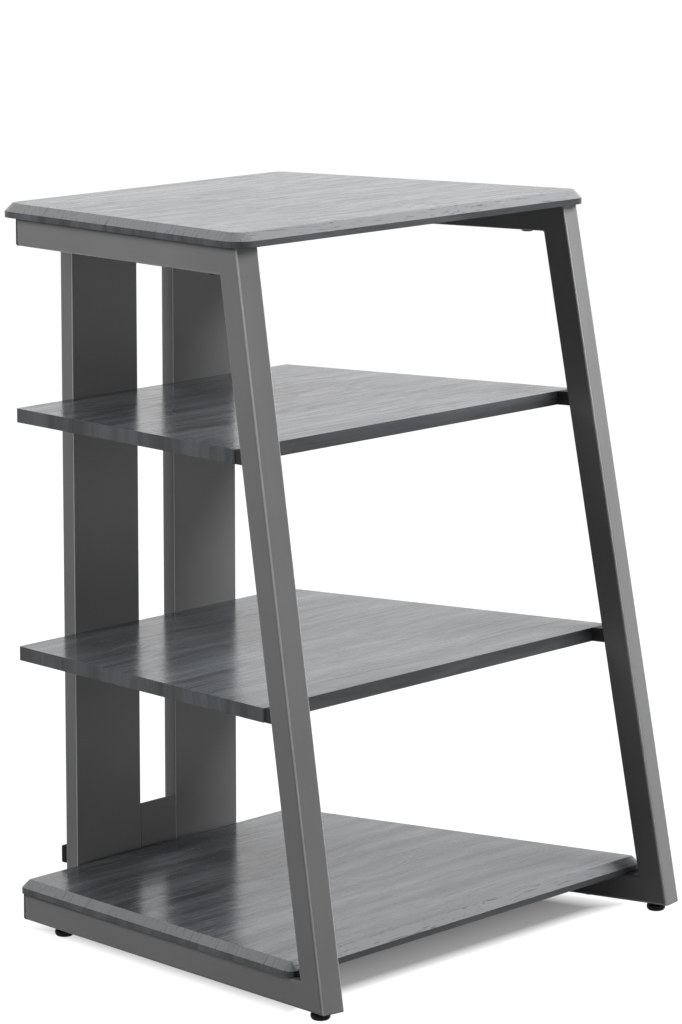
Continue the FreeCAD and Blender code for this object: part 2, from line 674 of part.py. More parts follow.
view = sketch_on(foot_stem, "XY_Plane", "foot_stem_collar", "collar_under")
hexagon(view, "stem_collar")
pad(foot_stem, view, "foot_height - collar_under")
nut_places = []
for end, setback in (("front", "leg_run - front_foot_setback"), ("rear", "rear_foot_setback")):
    for side, word in SIDES:
        x, y = on_frame(side, setback)
        nut_places.append((x, y, "foot_height + tube_wall", None, side))
        group("%s_%s_foot_pad" % (end, word), foot_pad, [(x, y, "0", None, side)])
        group("%s_%s_foot_stem" % (end, word), foot_stem, [(x, y, "0", None, side)])
group("foot_nuts", foot_nut, nut_places)

doc.recompute()
for item in doc.Objects:
    if "Invalid" in item.State or "Error" in item.State:
        raise RuntimeError("%s did not compute" % item.Name)
os.makedirs("parts", exist_ok=True)
for node in nodes:
    shape = node.Shape
    if shape.isNull() or not shape.isValid() or not shape.Solids:
        raise RuntimeError("%s has no sound solid" % node.Label)
    shape.exportStep("parts/%s.step" % node.Label)
box = Part.makeCompound([node.Shape for node in nodes]).BoundBox
print("%d nodes, %.1f x %.1f x %.1f mm" % (len(nodes), box.XLength, box.YLength, box.ZLength))
print("x %.2f to %.2f, y %.2f to %.2f, z %.2f to %.2f" % (
    box.XMin, box.XMax, box.YMin, box.YMax, box.ZMin, box.ZMax))
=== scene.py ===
# %% [markdown]
# # Dressing a tiered media stand
# The stand comes from CAD with every tube, board, column and fastener in place, at its real size
# in metres. This notebook gives each piece its finish, adds the small forms that a maker's shop
# leaves on it, such as weld beads, screw threads and rounded rubber, and sets up a plain studio.

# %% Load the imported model
import json
import math
import bmesh
import bpy
from mathutils import Matrix, Vector
from mathutils.kdtree import KDTree


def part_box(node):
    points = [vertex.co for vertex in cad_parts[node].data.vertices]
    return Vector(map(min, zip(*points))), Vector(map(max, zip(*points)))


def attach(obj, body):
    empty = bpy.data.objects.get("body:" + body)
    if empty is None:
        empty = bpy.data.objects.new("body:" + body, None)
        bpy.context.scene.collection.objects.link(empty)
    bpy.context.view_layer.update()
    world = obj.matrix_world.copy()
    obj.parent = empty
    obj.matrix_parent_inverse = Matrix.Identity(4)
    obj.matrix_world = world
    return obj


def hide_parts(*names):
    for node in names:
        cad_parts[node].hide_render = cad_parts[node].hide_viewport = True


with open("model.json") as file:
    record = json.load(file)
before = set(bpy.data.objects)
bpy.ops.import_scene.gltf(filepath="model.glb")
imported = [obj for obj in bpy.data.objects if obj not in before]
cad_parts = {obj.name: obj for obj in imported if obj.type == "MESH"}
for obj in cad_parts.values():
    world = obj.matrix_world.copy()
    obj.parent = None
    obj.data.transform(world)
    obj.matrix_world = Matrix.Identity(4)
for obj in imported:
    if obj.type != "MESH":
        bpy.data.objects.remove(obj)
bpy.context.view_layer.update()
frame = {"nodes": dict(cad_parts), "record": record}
nodes = frame["nodes"]

# %% [markdown]
# ## Camera
# The photograph looks down on the stand from its front left corner. A short lens close by could
# frame it as well, but it would make the uprights run apart. A long lens far away keeps them
# nearly parallel, so the camera stands more than five metres off. Sensor height and lens together
# set the picture's height, whatever shape the render has.

# %% Place the camera
CAMERA_PLACE = (-4.0242, -3.4265, 1.4011)
CAMERA_LOOKS_DOWN = 9.822
CAMERA_FROM_FRONT = 49.84
LENS_PIXELS = 4686.3
PICTURE_HEIGHT = 1024
SENSOR_HEIGHT = 24.0
FARTHEST_SEEN = 200.0

lens = bpy.data.cameras.new("photo_lens")
lens.sensor_fit = "VERTICAL"
lens.sensor_height = SENSOR_HEIGHT
lens.lens = LENS_PIXELS * SENSOR_HEIGHT / PICTURE_HEIGHT
lens.clip_end = FARTHEST_SEEN
camera = bpy.data.objects.new("photo_camera", lens)
camera.location = CAMERA_PLACE
camera.rotation_euler = (
    math.radians(90 - CAMERA_LOOKS_DOWN), 0, math.radians(-CAMERA_FROM_FRONT))
bpy.context.scene.collection.objects.link(camera)
bpy.context.scene.camera = camera
print("lens", round(lens.lens, 2), "mm")

# %% [markdown]
# ## Helpers for shader nodes
# A material is a small machine of nodes. Each node could be made, set and linked in lines of its
# own, but then a finish fills pages. A few helpers keep the cells short: one adds a node and
# fills its inputs, with either a number or another node's output, and the others name what is
# asked for most.


# %% Node helpers
def add_node(tree, kind, inputs=None, **settings):
    made = tree.nodes.new(kind)
    for key, setting in settings.items():
        setattr(made, key, setting)
    for key, given in (inputs or {}).items():
        if isinstance(given, bpy.types.NodeSocket):
            tree.links.new(given, made.inputs[key])
        else:
            made.inputs[key].default_value = given
    return made


def maths(tree, operation, first, second=None):
    inputs = {0: first}
    if second is not None:
        inputs[1] = second
    return add_node(tree, "ShaderNodeMath", inputs, operation=operation).outputs[0]


def stretch(tree, given, low, high, new_low=0.0, new_high=1.0):
    """Maps low to new_low and high to new_high, and stops at both."""
    limits = {0: given, 1: low, 2: high, 3: new_low, 4: new_high}
    return add_node(tree, "ShaderNodeMapRange", limits).outputs[0]


def noise(tree, place, scale, detail, rough=0.5, output=0):
    inputs = {"Vector": place, "Scale": scale, "Detail": detail, "Roughness": rough}
    return add_node(tree, "ShaderNodeTexNoise", inputs).outputs[output]


def object_place(tree):
    return add_node(tree, "ShaderNodeTexCoord").outputs["Object"]


def facing(tree):
    return add_node(tree, "ShaderNodeNewGeometry").outputs["Normal"]


def axes(tree, vector):
    return add_node(tree, "ShaderNodeSeparateXYZ", {0: vector}).outputs


# %% Colour helpers
def grey(level, blue=1.0):
    return (level, level * (1 + blue) / 2, level * blue, 1)


def blend_colours(tree, share, first, second):
    inputs = {0: share, 6: first, 7: second}
    return add_node(tree, "ShaderNodeMix", inputs, data_type="RGBA").outputs[2]


def tint(tree, ground, colour, mask, strength):
    """Lays a colour over the ground where the mask is white, at a share of its strength."""
    return blend_colours(tree, maths(tree, "MULTIPLY", mask, strength), ground, colour)


# %% Group helpers
def start_group(name, inputs, outputs):
    tree = bpy.data.node_groups.new(name, "ShaderNodeTree")
    for label, default in inputs.items():
        socket = tree.interface.new_socket(
            name=label, in_out="INPUT", socket_type="NodeSocketFloat")
        socket.default_value = default
    for label in outputs:
        tree.interface.new_socket(name=label, in_out="OUTPUT", socket_type="NodeSocketFloat")
    given = tree.nodes.new("NodeGroupInput").outputs
    result = tree.nodes.new("NodeGroupOutput").inputs
    return tree, given, result


def use_group(tree, group, **inputs):
    made = tree.nodes.new("ShaderNodeGroup")
    made.node_tree = group
    for key, given in inputs.items():
        made.inputs[key.replace("_", " ")].default_value = given
    return made.outputs


# %% [markdown]
# ## Worn edges
# Paint and laminate rub through first along edges. The wear could be painted on each piece by
# hand, but a mask that finds the edges by itself serves them all. The Bevel node gives the normal
# that a slightly rounded edge would have, so the angle between it and the true normal is that
# mask. Noise breaks it up, because real rubbing is patchy. Every hard finish uses this group with
# its own values.

# %% Edge wear group
EDGE_BEGINS, EDGE_FULL = 0.99, 0.80
PATCH_BEGINS, PATCH_FULL = 0.50, 0.68

edge_wear, given, result = start_group(
    "edge_wear", {"Width": 0.0015, "Patch Size": 60.0}, ["Worn"])
rounded = add_node(edge_wear, "ShaderNodeBevel", {"Radius": given["Width"]}, samples=4).outputs[0]
agreement = add_node(
    edge_wear, "ShaderNodeVectorMath", {0: rounded, 1: facing(edge_wear)},
    operation="DOT_PRODUCT").outputs["Value"]
edge = stretch(edge_wear, agreement, EDGE_BEGINS, EDGE_FULL)
patches = noise(edge_wear, object_place(edge_wear), given["Patch Size"], 4.0)
patchy = stretch(edge_wear, patches, PATCH_BEGINS, PATCH_FULL)
edge_wear.links.new(maths(edge_wear, "MULTIPLY", edge, patchy), result["Worn"])
print("edge wear group has", len(edge_wear.nodes), "nodes")

# %% [markdown]
# ## Orange peel
# Powder is sprayed on dry and melts in an oven. It sets with a faint dimpled skin, about a
# millimetre across, over slower waves. Dimples in the mesh would take millions of faces, so noise
# gives their height to a Bump node instead. The slow waves also shift the tone and the gloss a
# little.

# %% Powder skin group
WAVE_SCALE = 9.0
SPECK_SCALE = 2200.0

powder_skin, given, result = start_group(
    "powder_skin", {"Dimple Scale": 900.0}, ["Height", "Waves", "Specks"])
place = object_place(powder_skin)
dimples = noise(powder_skin, place, given["Dimple Scale"], 2.0)
waves = noise(powder_skin, place, WAVE_SCALE, 4.0)
specks = noise(powder_skin, place, SPECK_SCALE, 1.0)
powder_skin.links.new(dimples, result["Height"])
powder_skin.links.new(stretch(powder_skin, waves, 0.3, 0.7), result["Waves"])
powder_skin.links.new(stretch(powder_skin, specks, 0.62, 0.70), result["Specks"])
print("powder skin group has", len(powder_skin.nodes), "nodes")

# %% [markdown]
# ## Woodgrain print
# The boards are particle board under a printed and embossed laminate. Its grain runs across the
# stand. A Wave texture would give neat rings, but this print is streaky, so noise is stretched
# twentyfold along X: a fine one for the fibres and a slower one for the growth bands. At the
# boards' ends the print is wrapped over the edge, so there the noise is stretched along Z too and
# runs down.

# %% Where the grain runs
GRAIN_SQUEEZE = 0.045
END_FACING = 0.6
DRIFT_SCALE = 3.5
DRIFT_REACH = 0.035

wood_grain, given, result = start_group(
    "wood_grain", {"Fibre Scale": 260.0, "Band Scale": 40.0},
    ["Fibres", "Bands", "Pores", "Slope", "Upright"])
place = object_place(wood_grain)
face_way = axes(wood_grain, facing(wood_grain))
sideways = maths(wood_grain, "ABSOLUTE", face_way["X"])
on_end = maths(wood_grain, "GREATER_THAN", sideways, END_FACING)
across_top = add_node(
    wood_grain, "ShaderNodeMapping",
    {"Vector": place, "Scale": (GRAIN_SQUEEZE, 1, 1)}).outputs[0]
down_end = add_node(
    wood_grain, "ShaderNodeMapping",
    {"Vector": place, "Scale": (GRAIN_SQUEEZE, 1, GRAIN_SQUEEZE)}).outputs[0]
squeezed = add_node(
    wood_grain, "ShaderNodeMix", {0: on_end, 4: across_top, 5: down_end},
    data_type="VECTOR").outputs[1]
drift = noise(wood_grain, place, DRIFT_SCALE, 2.0, output="Color")
small_drift = add_node(
    wood_grain, "ShaderNodeVectorMath", {0: drift, "Scale": DRIFT_REACH},
    operation="SCALE").outputs[0]
wavy = add_node(
    wood_grain, "ShaderNodeVectorMath", {0: squeezed, 1: small_drift},
    operation="ADD").outputs[0]
print("grain is stretched", round(1 / GRAIN_SQUEEZE), "times")

# %% Fibres, bands and pores
PORE_SCALE = 620.0

fibres = noise(wood_grain, wavy, given["Fibre Scale"], 5.0, rough=0.6)
bands = noise(wood_grain, wavy, given["Band Scale"], 3.0)
pores = noise(wood_grain, wavy, PORE_SCALE, 2.0)
wood_grain.links.new(stretch(wood_grain, fibres, 0.32, 0.68), result["Fibres"])
wood_grain.links.new(stretch(wood_grain, bands, 0.35, 0.65), result["Bands"])
wood_grain.links.new(stretch(wood_grain, pores, 0.60, 0.70), result["Pores"])

# %% Sloping and upright edges
levelness = maths(wood_grain, "ABSOLUTE", face_way["Z"])
upright = stretch(wood_grain, levelness, 0.45, 0.20)
not_level = stretch(wood_grain, levelness, 0.97, 0.85)
wood_grain.links.new(upright, result["Upright"])
wood_grain.links.new(maths(wood_grain, "SUBTRACT", not_level, upright), result["Slope"])
print("woodgrain group has", len(wood_grain.nodes), "nodes")

# %% [markdown]
# ## Starting a material
# Every finish begins the same way: a Principled BSDF with its plain numbers set straight on its
# sockets. A Value node could carry them too, but an exporter may drop what comes through a link.
# What varies over the surface is linked in afterwards. The bump helper also rounds the shaded
# edges, which costs no faces.


# %% Material helpers
def start_material(name, **numbers):
    material = bpy.data.materials.new(name)
    material.use_nodes = True
    shader = material.node_tree.nodes["Principled BSDF"]
    for label, number in numbers.items():
        shader.inputs[label.replace("_", " ")].default_value = number
    return material, material.node_tree, shader.inputs


def bump(tree, height, distance, strength, edge_radius):
    softened = add_node(tree, "ShaderNodeBevel", {"Radius": edge_radius}, samples=6).outputs[0]
    inputs = {"Height": height, "Distance": distance, "Strength": strength, "Normal": softened}
    return add_node(tree, "ShaderNodeBump", inputs).outputs[0]


# %% [markdown]
# ## Grey powder coat
# Side frames, columns and the plate between them share one mid grey coat, satin rather than
# glossy. The rounded upright corners at the front show a paler line, a painted highlight that
# stands in for the light they catch from the front. The edge mask would find every other corner
# too. A normal that points both sideways and forward is found only there, so the product of the
# two is the mask. Weld beads take the same coat without the painted highlight.

# %% Grey powder coat
COAT_DARK, COAT_PALE = grey(0.190, 1.01), grey(0.216, 1.01)
COAT_FLECK = grey(0.30)
COAT_PAINTED_HIGHLIGHT = grey(0.66)
COAT_RUBBED = grey(0.52)


def grey_paint(name, painted_highlight):
    material, tree, coat = start_material(name, Metallic=0.0, Specular_IOR_Level=0.25)
    skin = use_group(tree, powder_skin)
    wear = use_group(tree, edge_wear, Width=0.0014, Patch_Size=45.0)
    plain = blend_colours(tree, skin["Waves"], COAT_DARK, COAT_PALE)
    flecked = tint(tree, plain, COAT_FLECK, skin["Specks"], 0.30)
    way = axes(tree, facing(tree))
    forward = maths(tree, "MULTIPLY", way["Y"], -1.0)
    diagonal = maths(tree, "MULTIPLY", maths(tree, "ABSOLUTE", way["X"]), forward)
    # painted highlight: a paler line on the rounded corners that face sideways and forward
    highlight_line = stretch(tree, diagonal, 0.18, 0.40, 0.0, painted_highlight)
    highlighted = blend_colours(tree, highlight_line, flecked, COAT_PAINTED_HIGHLIGHT)
    rubbed = tint(tree, highlighted, COAT_RUBBED, wear["Worn"], 0.35)
    tree.links.new(rubbed, coat["Base Color"])
    tree.links.new(stretch(tree, skin["Waves"], 0.0, 1.0, 0.30, 0.40), coat["Roughness"])
    peel = bump(tree, skin["Height"], distance=0.00006, strength=0.8, edge_radius=0.0022)
    tree.links.new(peel, coat["Normal"])
    print(name, "has", len(tree.nodes), "nodes")
    return material


grey_coat = grey_paint("grey_powder_coat", painted_highlight=0.95)
weld_coat = grey_paint("grey_weld_coat", painted_highlight=0.0)

# %% [markdown]
# ## Charcoal laminate
# The boards are bluish black with paler fibres, and they shine enough to mirror the columns as
# soft streaks. Colour, gloss and height could each have a pattern of their own, but the embossing
# follows the print, so the same fibres feed all three. The sloping edge is tinted paler, as
# painted light for the light that falls on it from above. The upright edge below it is darker,
# with soft streaks that run down it.

# %% Laminate colours
GROUND_DARK, GROUND_PALE = grey(0.026, 1.22), grey(0.120, 1.18)
EDGE_DARK, EDGE_PALE = grey(0.008, 1.2), grey(0.056, 1.25)
FIBRE = grey(0.190, 1.12)
SLOPE_PAINTED_LIGHT = grey(0.340, 1.05)
PORE = grey(0.016, 1.2)
LAMINATE_RUBBED = grey(0.22, 1.05)

laminate, tree, board = start_material(
    "charcoal_laminate", Metallic=0.0, Specular_IOR_Level=0.30, Coat_Roughness=0.12)
grain = use_group(tree, wood_grain)
wear = use_group(tree, edge_wear, Width=0.0010, Patch_Size=70.0)
ground = blend_colours(tree, grain["Bands"], GROUND_DARK, GROUND_PALE)
fibred = tint(tree, ground, FIBRE, grain["Fibres"], 0.40)
# painted light: the sloping edge is tinted paler for the light that falls on it from above
slope_lit = tint(tree, fibred, SLOPE_PAINTED_LIGHT, grain["Slope"], 0.75)
edge_tone = blend_colours(tree, grain["Bands"], EDGE_DARK, EDGE_PALE)
edged = tint(tree, slope_lit, edge_tone, grain["Upright"], 0.50)
pored = tint(tree, edged, PORE, grain["Pores"], 0.6)
rubbed = tint(tree, pored, LAMINATE_RUBBED, wear["Worn"], 0.25)
tree.links.new(rubbed, board["Base Color"])

# %% Laminate gloss and embossing
gloss = stretch(tree, grain["Fibres"], 0.0, 1.0, 0.12, 0.28)
edge_dulling = maths(tree, "MULTIPLY", grain["Upright"], 0.30)
tree.links.new(maths(tree, "ADD", gloss, edge_dulling), board["Roughness"])
tree.links.new(stretch(tree, grain["Fibres"], 0.15, 0.85, 0.18, 0.0), board["Coat Weight"])
embossing = bump(tree, grain["Fibres"], distance=0.00010, strength=0.70, edge_radius=0.0008)
tree.links.new(embossing, board["Normal"])
print("charcoal_laminate has", len(tree.nodes), "nodes")

# %% [markdown]
# ## Black mouldings, rubber and steel
# Caps, plugs and spacers are injection moulded with a fine spark texture. Rubber is duller and
# picks up dust. Bolts and foot stems are blackened steel, and what lies hidden in the boards is
# zinc plated. All four are a speckled tone with a fine skin, so one function builds them from
# their numbers.


# %% Black and plated finishes
def speckled(name, dark, pale, rough, shine, height, scale, metallic=0.0):
    material, tree, shader = start_material(name, Metallic=metallic, Specular_IOR_Level=shine)
    skin = use_group(tree, powder_skin, Dimple_Scale=scale)
    wear = use_group(tree, edge_wear, Width=0.0006, Patch_Size=120.0)
    tone = blend_colours(tree, skin["Waves"], grey(dark), grey(pale))
    rubbed = tint(tree, tone, grey(1.6 * pale + 0.02), wear["Worn"], 0.5)
    tree.links.new(rubbed, shader["Base Color"])
    gloss = stretch(tree, skin["Height"], 0.3, 0.7, rough - 0.08, rough + 0.08)
    tree.links.new(gloss, shader["Roughness"])
    texture = bump(tree, skin["Height"], distance=height, strength=0.8, edge_radius=0.0004)
    tree.links.new(texture, shader["Normal"])
    print(name, "has", len(tree.nodes), "nodes")
    return material


black_moulding = speckled(
    "black_plastic", dark=0.012, pale=0.019, rough=0.46, shine=0.22, height=0.00004, scale=1300.0)
black_rubber = speckled(
    "black_rubber", dark=0.007, pale=0.013, rough=0.60, shine=0.12, height=0.00005, scale=1000.0)
black_steel = speckled(
    "black_steel", dark=0.030, pale=0.050, rough=0.36, shine=0.35, height=0.00001, scale=1600.0,
    metallic=0.6)
zinc_plate = speckled(
    "zinc_steel", dark=0.46, pale=0.60, rough=0.34, shine=0.5, height=0.00001, scale=1400.0,
    metallic=1.0)

# %% [markdown]
# ## Dressing the CAD pieces
# The record names one material slot for every node, and each slot has its finish above. The nodes
# could be dressed one by one, but a loop forgets none, and no node keeps the plain colour that it
# came with.

# %% Dress the nodes
finishes = {
    "grey_powder_coat": grey_coat, "charcoal_laminate": laminate, "black_plastic": black_moulding,
    "black_rubber": black_rubber, "black_steel": black_steel, "zinc_steel": zinc_plate,
}
for part in frame["record"]["subparts"]:
    mesh = nodes[part["node"]].data
    mesh.materials.clear()
    mesh.materials.append(finishes[part["material_slot"]])

# %% [markdown]
# ## Helpers for new pieces
# Round parts are turned, in the workshop and here: a half outline is spun about the Z axis. A
# stack of cylinders would leave walls inside, while a spun outline is one closed skin. A finished
# mesh becomes an object with smooth faces and sharp creases, takes its finish from a slot of the
# record, and rides on the body that carries it.

# %% Piece helpers
SAME_PLACE = 1e-6
CREASE = math.radians(35)


def merge_corners(bm):
    bmesh.ops.remove_doubles(bm, verts=bm.verts[:], dist=SAME_PLACE)


def turn_outline(bm, outline, segments):
    corners = [bm.verts.new((radius, 0, height)) for radius, height in outline]
    lines = [bm.edges.new(pair) for pair in zip(corners, corners[1:])]
    bmesh.ops.spin(
        bm, geom=corners + lines, cent=(0, 0, 0), axis=(0, 0, 1), angle=math.tau, steps=segments,
        use_merge=True)
    merge_corners(bm)


def round_edges(bm, lines, offset, segments):
    bmesh.ops.bevel(
        bm, geom=lines, offset=offset, offset_type="OFFSET", segments=segments, profile=0.5,
        affect="EDGES", material=-1)


def make_piece(name, bm, slot, body, *replaced):
    bmesh.ops.recalc_face_normals(bm, faces=bm.faces[:])
    mesh = bpy.data.meshes.new(name)
    bm.to_mesh(mesh)
    bm.free()
    mesh.shade_smooth()
    mesh.set_sharp_from_angle(angle=CREASE)
    mesh.materials.append(finishes[slot])
    piece = bpy.data.objects.new(name, mesh)
    bpy.context.scene.collection.objects.link(piece)
    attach(piece, body)
    if replaced:
        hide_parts(*replaced)
    print(name, "has", len(mesh.polygons), "faces")
    return piece


def quarter_round(centre, size, start, steps):
    """Points of a quarter ellipse, from an angle in degrees anticlockwise."""
    points = []
    for step in range(steps + 1):
        angle = math.radians(start + 90 * step / steps)
        x = centre[0] + size[0] * math.cos(angle)
        y = centre[1] + size[1] * math.sin(angle)
        points.append((x, y))
    return points


# %% [markdown]
# ## Finding the bolts
# One CAD node holds a whole set of bolts. Their places could be typed in, but they would be wrong
# as soon as the stand changes. So the node's mesh is merged, walked from corner to corner, and
# every solid that hangs together gives the box of one bolt.


# %% Separate solids of a node
def separate_boxes(node):
    """The lowest and highest corner of every separate solid in a CAD node."""
    bm = bmesh.new()
    bm.from_mesh(nodes[node].data)
    merge_corners(bm)
    unseen = set(bm.verts)
    boxes = []
    while unseen:
        solid = [unseen.pop()]
        for corner in solid:
            for line in corner.link_edges:
                other = line.other_vert(corner)
                if other in unseen:
                    unseen.discard(other)
                    solid.append(other)
        low = Vector([min(corner.co[axis] for corner in solid) for axis in range(3)])
        high = Vector([max(corner.co[axis] for corner in solid) for axis in range(3)])
        boxes.append((low, high))
    bm.free()
    return sorted(boxes, key=lambda box: tuple(box[0]))


for node in ("top_shelf_bolts", "bottom_shelf_bolts", "column_bolts"):
    print(node, "holds", len(separate_boxes(node)), "bolts")

# %% [markdown]
# ## Button head bolts
# The boards are held by low domed bolts with a hexagon socket. Head and shank are one turned
# outline. A Boolean could cut the socket, but it leaves thin slivers round it. So the socket
# starts as a hexagon, is cut into as many points as the dome's inner ring, bridged to that ring,
# and pushed down into the head.

# %% Bolt shape
BOLT_SEGMENTS = 36
DOME_STEPS = 6
RIM_SHARE = 0.4
CROWN_SHARE = 0.52
RIM_CHAMFER = 0.0002
TIP_CHAMFER = 0.0006
SOCKET_WIDTH = 0.004
SOCKET_SIDES = 6
SOCKET_DEPTH = 0.0018


def bolt_shape(shank_radius, shank_length, head_radius, head_height):
    """A bolt along Z: its head from zero down, its shank from zero up."""
    bm = bmesh.new()
    rim = RIM_SHARE * head_height
    crown = CROWN_SHARE * head_radius
    dome = quarter_round((crown, -rim), (head_radius - crown, head_height - rim), -90, DOME_STEPS)
    outline = [
        (0, shank_length), (shank_radius - TIP_CHAMFER, shank_length),
        (shank_radius, shank_length - TIP_CHAMFER), (shank_radius, 0),
        (head_radius - RIM_CHAMFER, 0), (head_radius, -RIM_CHAMFER)]
    turn_outline(bm, outline + dome[::-1], BOLT_SEGMENTS)
    cut_socket(bm, -head_height)
    return bm


def cut_socket(bm, height):
    ring = [line for line in bm.edges if line.is_boundary]
    bmesh.ops.create_circle(
        bm, segments=SOCKET_SIDES, radius=SOCKET_WIDTH / math.sqrt(3),
        matrix=Matrix.Translation((0, 0, height)))
    sides = [line for line in bm.edges if line.is_wire]
    bmesh.ops.subdivide_edges(bm, edges=sides, cuts=BOLT_SEGMENTS // SOCKET_SIDES - 1)
    sides = [line for line in bm.edges if line.is_wire]
    bmesh.ops.bridge_loops(bm, edges=ring + sides)
    walls = bmesh.ops.extrude_edge_only(bm, edges=sides)["geom"]
    floor_corners = [item for item in walls if isinstance(item, bmesh.types.BMVert)]
    bmesh.ops.translate(bm, verts=floor_corners, vec=(0, 0, SOCKET_DEPTH))
    bmesh.ops.holes_fill(bm, edges=[line for line in bm.edges if line.is_boundary], sides=0)


# %% Place the bolts
HEAD_HEIGHT = 0.003
SHANK_RADIUS = 0.003
ALONG_UP = Matrix.Identity(4)
ALONG_FORWARD = Matrix.Rotation(math.radians(90), 4, "X")


def place_bolts(node, way, axis, head_at_low_end):
    together = bmesh.new()
    across = (axis + 1) % 3
    for low, high in separate_boxes(node):
        seat = (low + high) / 2
        seat[axis] = low[axis] + HEAD_HEIGHT if head_at_low_end else high[axis] - HEAD_HEIGHT
        length = high[axis] - low[axis] - HEAD_HEIGHT
        one = bolt_shape(SHANK_RADIUS, length, (high[across] - low[across]) / 2, HEAD_HEIGHT)
        bmesh.ops.transform(one, matrix=Matrix.Translation(seat) @ way, verts=one.verts[:])
        scratch = bpy.data.meshes.new("one_bolt")
        one.to_mesh(scratch)
        one.free()
        together.from_mesh(scratch)
        bpy.data.meshes.remove(scratch)
    make_piece("button_" + node, together, "black_steel", "stand", node)


place_bolts("top_shelf_bolts", ALONG_UP, 2, True)
place_bolts("bottom_shelf_bolts", ALONG_UP, 2, True)
place_bolts("column_bolts", ALONG_FORWARD, 1, False)

# %% [markdown]
# ## Foot pads
# Each foot is a soft round pad that swivels on the disc at the end of a threaded stem. A cylinder
# with a bevel would do for its outside, but not for the recess that takes the disc, so the pad is
# a turned bowl with a lip.

# %% Foot pads
FEET = ("front_left", "front_right", "rear_left", "rear_right")
PAD_SEGMENTS = 48
PAD_FLOOR = 0.0017
BOWL_WIDTH, BOWL_HEIGHT = 0.0042, 0.0046
LIP = 0.0008
RECESS_RADIUS = 0.0058
RECESS_CHAMFER = 0.0004


def foot_pad(foot):
    low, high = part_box(foot + "_foot_pad")
    middle = (Vector(low) + Vector(high)) / 2
    radius = (high[0] - low[0]) / 2
    height = high[2]
    bowl = quarter_round(
        (radius - BOWL_WIDTH, BOWL_HEIGHT), (BOWL_WIDTH, BOWL_HEIGHT), -90, 8)
    lip = quarter_round((radius - LIP, height - LIP), (LIP, LIP), 0, 4)
    recess = [
        (RECESS_RADIUS + RECESS_CHAMFER, height), (RECESS_RADIUS, height - RECESS_CHAMFER),
        (RECESS_RADIUS, PAD_FLOOR)]
    bm = bmesh.new()
    turn_outline(bm, [(0, 0)] + bowl + lip + recess + [(0, PAD_FLOOR)], PAD_SEGMENTS)
    bmesh.ops.translate(bm, verts=bm.verts[:], vec=(middle.x, middle.y, 0))
    make_piece(foot + "_soft_pad", bm, "black_rubber", foot + "_pad", foot + "_foot_pad")


for foot in FEET:
    foot_pad(foot)

# %% [markdown]
# ## Foot stems
# A stem is a turned core with a hexagon collar for the spanner and a thread above it. A bump
# could hint at the thread, but it shows in outline when the foot is screwed out. So a small tooth
# is spun up the stem with a rise at each step, which leaves a closed ridge.

# %% Parts of a stem
STEM_SEGMENTS = 32
STEM_RADIUS = 0.004
STEM_TIP = 0.0008
DISC_RADIUS = 0.0055
DISC_TOP = 0.0037
DISC_CHAMFER = 0.0003
COLLAR_WIDTH = 0.013
COLLAR_EDGE = 0.0005
THREAD_ROOT = 0.0034
THREAD_SINK = 0.0002
THREAD_PITCH = 0.00125
THREAD_STEPS = 20
THREAD_END = 0.001


def stem_core(bm, low, tip):
    turn_outline(bm, [
        (0, low), (DISC_RADIUS - DISC_CHAMFER, low), (DISC_RADIUS, low + DISC_CHAMFER),
        (DISC_RADIUS, DISC_TOP - DISC_CHAMFER), (DISC_RADIUS - DISC_CHAMFER, DISC_TOP),
        (THREAD_ROOT, DISC_TOP), (THREAD_ROOT, tip - STEM_TIP), (THREAD_ROOT - STEM_TIP, tip),
        (0, tip)], STEM_SEGMENTS)


def hexagon_collar(bm, low, high):
    radius = COLLAR_WIDTH / math.sqrt(3)
    corners = set(bmesh.ops.create_cone(
        bm, cap_ends=True, segments=6, radius1=radius, radius2=radius, depth=high - low,
        matrix=Matrix.Translation((0, 0, (low + high) / 2)))["verts"])
    rims = [line for line in bm.edges if corners.issuperset(line.verts)
            and abs(line.verts[0].co.z - line.verts[1].co.z) < SAME_PLACE]
    round_edges(bm, rims, COLLAR_EDGE, 2)


def stem_thread(bm, low, tip):
    start = low + THREAD_PITCH / 4
    turns = int((tip - THREAD_END - start) / THREAD_PITCH) - 1
    root = THREAD_ROOT - THREAD_SINK
    tooth = [(root, 0.08), (STEM_RADIUS, 0.45), (STEM_RADIUS, 0.55), (root, 0.92)]
    corners = [bm.verts.new((radius, 0, start + share * THREAD_PITCH)) for radius, share in tooth]
    bmesh.ops.spin(
        bm, geom=[bm.faces.new(corners)], cent=(0, 0, 0), axis=(0, 0, 1), angle=math.tau * turns,
        dvec=(0, 0, THREAD_PITCH / THREAD_STEPS), steps=THREAD_STEPS * turns)


# %% Foot stems
COLLAR_ROOM = 0.0003


def foot_stem(foot):
    low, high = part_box(foot + "_foot_stem")
    middle = (Vector(low) + Vector(high)) / 2
    collar_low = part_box(foot + "_foot_pad")[1][2] + COLLAR_ROOM
    collar_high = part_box("left_bottom_rail")[0][2]
    bm = bmesh.new()
    stem_core(bm, low[2], high[2])
    hexagon_collar(bm, collar_low, collar_high)
    stem_thread(bm, collar_high, high[2])
    bmesh.ops.translate(bm, verts=bm.verts[:], vec=(middle.x, middle.y, 0))
    make_piece(foot + "_threaded_stem", bm, "black_steel", foot + "_stem", foot + "_foot_stem")


for foot in FEET:
    foot_stem(foot)

# %% [markdown]
# ## Wall buffers
# Two square rubber blocks keep the columns off the wall. A moulded block has rounded edges and a
# shallow dish at its rear. A Bevel modifier would also round the edges that lie on the column, so
# the operator bevels the others only, and the rear face is inset and pushed in.

# %% Wall buffers
BUFFER_EDGE = 0.0022
BUFFER_STEM = 0.003
BUFFER_STEM_SEGMENTS = 24
DISH_MARGIN = 0.003
DISH_DEPTH = 0.0012
BEHIND_COLUMN = 1e-5


